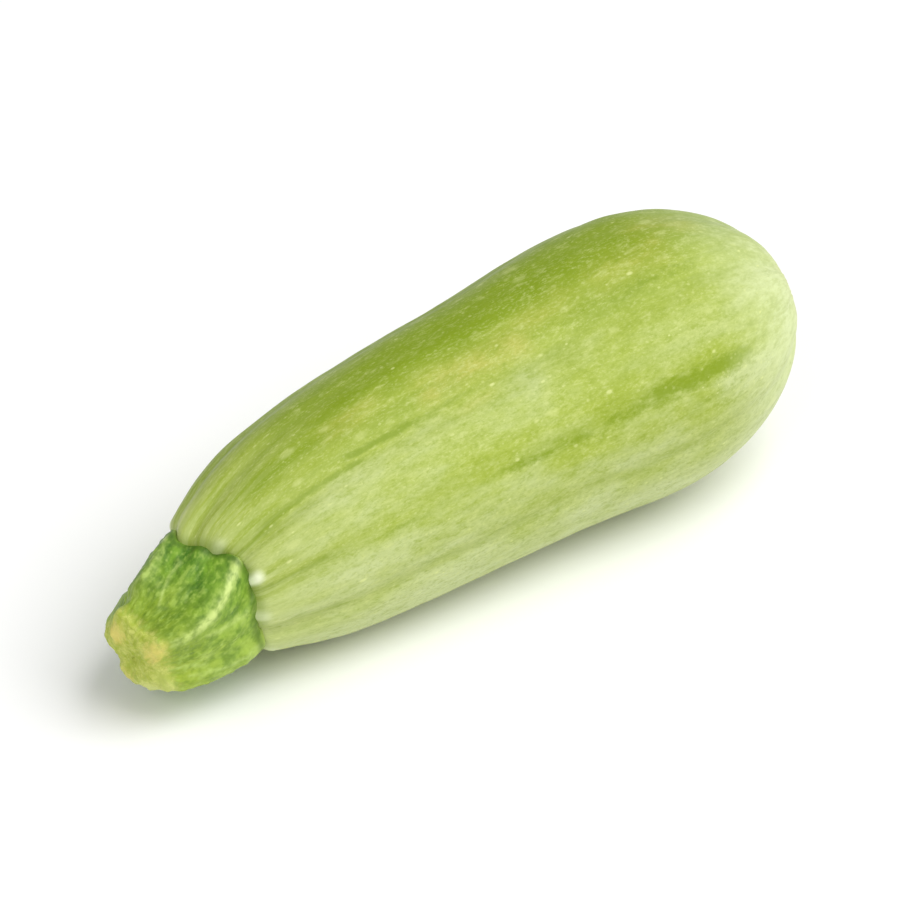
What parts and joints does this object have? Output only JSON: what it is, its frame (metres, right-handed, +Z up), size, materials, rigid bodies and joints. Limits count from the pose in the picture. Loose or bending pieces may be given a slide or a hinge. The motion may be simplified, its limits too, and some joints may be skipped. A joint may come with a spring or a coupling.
{
  "type": "zucchini",
  "caption": "Small pale green summer squash with a ribbed cut stalk, shallow furrows and a blossom scar, lying on its side on a small flat spot",
  "frame": {"origin": "on the surface the fruit rests on, under the middle of its bounding box", "axes": "+X from the stalk to the blossom end, +Z up away from the surface it rests on"},
  "size_m": [0.142, 0.0502, 0.0491],
  "materials": {
    "fruit_skin": "satin",
    "stalk_skin": "matte"
  },
  "bodies": {
    "root": {"fruit": "fruit_skin", "stalk": "stalk_skin"}
  },
  "joints": []
}
